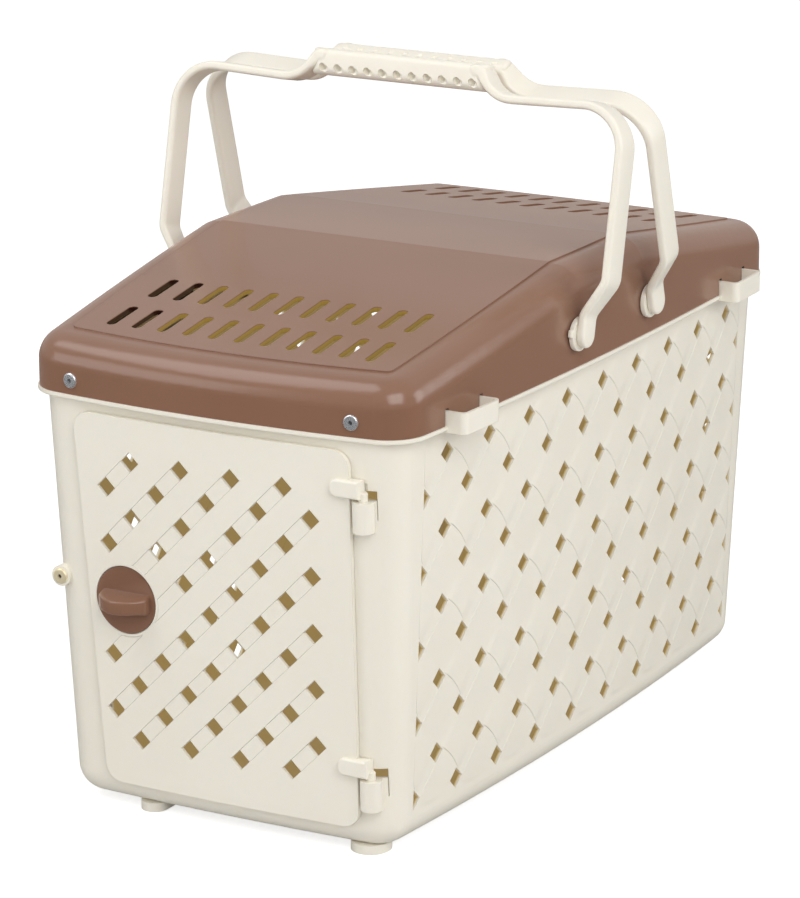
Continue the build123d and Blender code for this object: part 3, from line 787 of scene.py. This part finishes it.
def grip_bar():
    """The domed hand grip with its dimples and scallops."""
    bm = bmesh.new()
    rounded_box(bm, *GRIP, GRIP_EDGE, 6)
    for v in bm.verts:
        v.co.x += math.copysign((LEAN_FROM - v.co.z) * END_LEAN, v.co.x)
    for shapes in ([DIMPLE, *SCALLOPS], [SCOOP]):
        cutters = bmesh.new()
        for k in range(CUTTER_COUNT):
            along = Matrix.Translation(((k - CUTTER_COUNT // 2) * CUTTER_PITCH, 0, 0))
            for centre, half in shapes:
                place = along @ (Matrix.Translation(centre) @ Matrix.Diagonal((*half, 1)))
                bmesh.ops.create_uvsphere(cutters, u_segments=24, v_segments=16, radius=1,
                                          matrix=place)
        cut(bm, cutters)
    return bm


print("cutters", CUTTER_COUNT * (2 + len(SCALLOPS)))

# %% [markdown]
# ### Whole handles
# At its pivot each arm carries a boss disc, a stud through the lid's side with
# a head behind it, and a small lug in front of the boss. Both handles are the
# same moulding. They lean towards each other by different angles, so that the
# grips meet, and the rear one is turned round to face backwards.

# %% Handles
PIVOT = (0, -48.2, 285.8)
ARM_T = 5.6
ARM_CENTRE = 145.6
# The strip's middle line as distance from the middle and height over the pivot,
# with the bend radius, width and depth at each of its corners.
LINE = [(ARM_CENTRE, 0), (ARM_CENTRE, 12), (158.9, 33), (158.9, 139.8),
        (70.4, 136.9), (56.6, 153.8), (45.0, 147.5)]
BENDS = [0, 12, 12, 27, 23, 5, 0]
WIDTHS = [16.4, 16.4, 19.3, 19.3, 19.3, 16.0, 8.0]
DEPTHS = [5.6, 5.6, 5.6, 5.6, 5.6, 8.0, 8.0]
ARM_IN = ARM_CENTRE - ARM_T / 2
# Each disc on the pivot as its two ends along X, its radius and its rim.
PIVOT_DISCS = {
    "boss": (139.4, ARM_IN - 0.02, 10.6, 0.6),
    "stud": (134.8, 139.3, 5.0, 0.2),
    "head": (132.6, 134.9, 6.6, 0.3),
}
LUG = ((139.6, -12.4, -2.4), (ARM_IN - 0.3, -8.6, 2.4), 0.7)
LEANS = (("front_handle", 12.2, False), ("rear_handle", 15.6, True))


def handle(name, lean, mirrored):
    """A whole handle at its pivot, leaning inward by the given angle."""
    bm = bmesh.new()
    sweep(bm, LINE, BENDS, WIDTHS, DEPTHS)
    for disc in PIVOT_DISCS.values():
        rounded_disc(bm, *disc)
    rounded_box(bm, *LUG)
    copy = bmesh.ops.duplicate(bm, geom=bm.verts[:] + bm.edges[:] + bm.faces[:])["geom"]
    verts = [v for v in copy if isinstance(v, bmesh.types.BMVert)]
    bmesh.ops.scale(bm, vec=(-1, 1, 1), verts=verts)
    take_in(bm, grip_bar())
    bmesh.ops.rotate(bm, cent=(0, 0, 0), matrix=Matrix.Rotation(-lean, 3, "X"), verts=bm.verts)
    bmesh.ops.translate(bm, vec=PIVOT, verts=bm.verts)
    if mirrored:
        bmesh.ops.scale(bm, vec=(1, -1, 1), verts=bm.verts)
    return finished(bm, name + "_look", CREAM, name + "_body", "cream_plastic", name)


for name, lean, mirrored in LEANS:
    made = handle(name, math.radians(lean), mirrored)
    print(name, len(made.data.polygons), "faces")

# %% [markdown]
# ## The knob
# A round brown disc lies in the door with a bow-fronted bar across it, thicker
# at its root. It is built pointing along X, as a disc with a sunk face, the
# shaft and its square neck behind, and a bar that is a cube divided along its
# length, bowed and drawn in at the front. Then it is turned to face the front.

# %% Knob
KNOB_FACE = 246.66
DISC = (KNOB_FACE - 1.7, KNOB_FACE, 21.15, 0.5)
SHAFT = (KNOB_FACE - 8.1, KNOB_FACE - 1.0, 5.0, 0.1)
NECK = ((KNOB_FACE - 10.6, -3.5, -3.5), (KNOB_FACE - 8.0, 3.5, 3.5), 0.4)
FACE_RIM = 1.6
FACE_SUNK = 0.35
BAR_HALF = 16.8
BAR_OUT = 15.0
BAR_END_OUT = 4.6
BAR_IN = -1.2
BAR_FRONT_HALF = 4.3
BAR_ROOT_HALF = 6.3
BAR_LOWERED = 1.2
BAR_CUTS = 15
BAR_EDGE = 1.3
SHARP_LIMIT = math.radians(50)


def grip_across():
    """The bar across the knob, with a bowed front and a thicker root."""
    bar = bmesh.new()
    made = bmesh.ops.create_cube(bar, size=1)
    bmesh.ops.scale(bar, vec=(1, 2 * BAR_HALF, 2), verts=made["verts"])
    along = [e for e in bar.edges if abs(e.verts[0].co.y - e.verts[1].co.y) > 1]
    bmesh.ops.subdivide_edges(bar, edges=along, cuts=BAR_CUTS, use_grid_fill=True)
    for v in bar.verts:
        front = v.co.x > 0
        bow = 1 - (v.co.y / BAR_HALF) ** 2
        out = BAR_END_OUT + (BAR_OUT - BAR_END_OUT) * bow if front else BAR_IN
        v.co.x = KNOB_FACE + out
        v.co.z = v.co.z * (BAR_FRONT_HALF if front else BAR_ROOT_HALF) - BAR_LOWERED
    sharp = [e for e in bar.edges if e.calc_face_angle(0) > SHARP_LIMIT]
    bmesh.ops.bevel(bar, geom=sharp, offset=BAR_EDGE, segments=4, profile=0.5,
                    affect="EDGES", material=-1, clamp_overlap=True)
    return bar


def knob():
    """The disc, its grip bar, and the shaft that carries the latch cam."""
    bm = bmesh.new()
    rounded_disc(bm, *DISC)
    face = max(bm.faces, key=lambda f: (f.calc_center_median().x, f.calc_area()))
    bmesh.ops.inset_individual(bm, faces=[face], thickness=FACE_RIM, depth=-FACE_SUNK)
    rounded_disc(bm, *SHAFT)
    rounded_box(bm, *NECK)
    take_in(bm, grip_across())
    to_front = Matrix.Rotation(-math.pi / 2, 3, "Z")
    bmesh.ops.rotate(bm, cent=(0, 0, 0), matrix=to_front, verts=bm.verts)
    bmesh.ops.translate(bm, vec=KNOB_AT, verts=bm.verts)
    return finished(bm, "door_knob_look", BROWN, "knob", "brown_plastic", "door_knob")


print("knob", len(knob().data.polygons), "faces")

# %% [markdown]
# ## The studio
# ### Lamps
# The photograph has soft light from everywhere and hardly any shadow. A big
# key hangs above the camera on the right. A smaller lamp at the upper left has
# its mirror image along the lid's front edge, and two weak ones fill the sides.

# %% Lamps
# Each lamp is where it hangs, the point it looks at, its side and its power.
LAMPS = {
    "key": ((1.8, -1.6, 1.9), (0, 0, 0.2), 1.8, 40),
    "top_left": ((-1.05, -0.8, 2.1), (0, -0.1, 0.3), 1.3, 14),
    "right_rear": ((2.2, 1.2, 1.1), (0, 0, 0.2), 1.2, 15),
    "left_front": ((-1.7, -2.2, 0.9), (0, 0, 0.2), 1.2, 10),
}
for name, (where, at, side, power) in LAMPS.items():
    light = bpy.data.lights.new(name, "AREA")
    light.shape = "RECTANGLE"
    light.size = side
    light.size_y = side
    light.energy = power
    lamp = bpy.data.objects.new(name, light)
    bpy.context.scene.collection.objects.link(lamp)
    lamp.location = where
    lamp.rotation_euler = (Vector(at) - Vector(where)).to_track_quat("-Z", "Y").to_euler()
print("lights", len(bpy.data.lights))

# %% [markdown]
# ### Backdrop
# The world does three jobs, one for each kind of ray. The camera sees pure
# white. The object is lit by a weaker white, so its pale walls don't clip. What
# mirrors in gloss is dim low down and brighter above, which gives the plastic
# and the rivets something to reflect.

# %% Backdrop
WHITE = (1, 1, 1, 1)
AMBIENT = 0.46
LEVEL_GLOW = (-0.12, 0.1, 0.1, 0.65)
HIGH_GLOW = (0.3, 0.8, 0.0, 0.35)


def chosen_by(tree, ray, otherwise, chosen):
    """One shader for a kind of ray and another for all the rest."""
    mix = tree.nodes.new("ShaderNodeMixShader")
    for place, value in enumerate((ray, otherwise, chosen)):
        tree.links.new(value, mix.inputs[place])
    return mix.outputs[0]


world = bpy.data.worlds.new("studio_world")
bpy.context.scene.world = world
world.use_nodes = True
sky = world.node_tree
lit = set_inputs(sky.nodes["Background"], {"Color": WHITE, "Strength": AMBIENT})
seen = set_inputs(sky.nodes.new("ShaderNodeBackground"), {"Color": WHITE, "Strength": 1.0})
mirrored = sky.nodes.new("ShaderNodeBackground")
direction = sky.nodes.new("ShaderNodeTexCoord")
parts = sky.nodes.new("ShaderNodeSeparateXYZ")
sky.links.new(direction.outputs["Generated"], parts.inputs[0])
glows = [ramp(sky, parts.outputs["Z"], *glow, smooth=True) for glow in (LEVEL_GLOW, HIGH_GLOW)]
sky.links.new(maths(sky, "ADD", *glows), mirrored.inputs["Strength"])
rays = sky.nodes.new("ShaderNodeLightPath").outputs
unseen = chosen_by(sky, rays["Is Glossy Ray"], lit.outputs[0], mirrored.outputs[0])
surface = chosen_by(sky, rays["Is Camera Ray"], unseen, seen.outputs[0])
sky.links.new(surface, sky.nodes["World Output"].inputs["Surface"])
bpy.context.scene.view_settings.view_transform = "Standard"
print("world", world.name)

# %% [markdown]
# ### Floor
# A plain pale floor keeps the contact shadow. Some of its white is emission
# that is strong only for the camera, so it meets the backdrop without a line
# and doesn't light the object from below. Gloss doesn't mirror it.

# %% Floor
FLOOR_HALF = 6.0
FLOOR_GREY = (0.6, 0.6, 0.6, 1)
FLOOR_GLOW = (0.1, 0.7)

floor_mesh = bmesh.new()
bmesh.ops.create_grid(floor_mesh, x_segments=1, y_segments=1, size=FLOOR_HALF)
floor_data = bpy.data.meshes.new("studio_floor")
floor_mesh.to_mesh(floor_data)
floor_mesh.free()
floor = bpy.data.objects.new("studio_floor", floor_data)
bpy.context.scene.collection.objects.link(floor)
floor.visible_glossy = False
floor_look, floor_shader = principled("floor_look", {
    "Roughness": 0.9, "Base Color": FLOOR_GREY, "Emission Color": WHITE})
floor_tree = floor_look.node_tree
to_camera = floor_tree.nodes.new("ShaderNodeLightPath").outputs["Is Camera Ray"]
floor_tree.links.new(ramp(floor_tree, to_camera, 0.0, 1.0, *FLOOR_GLOW),
                     floor_shader.inputs["Emission Strength"])
floor_data.materials.append(floor_look)
print("floor", 2 * FLOOR_HALF, "m wide")
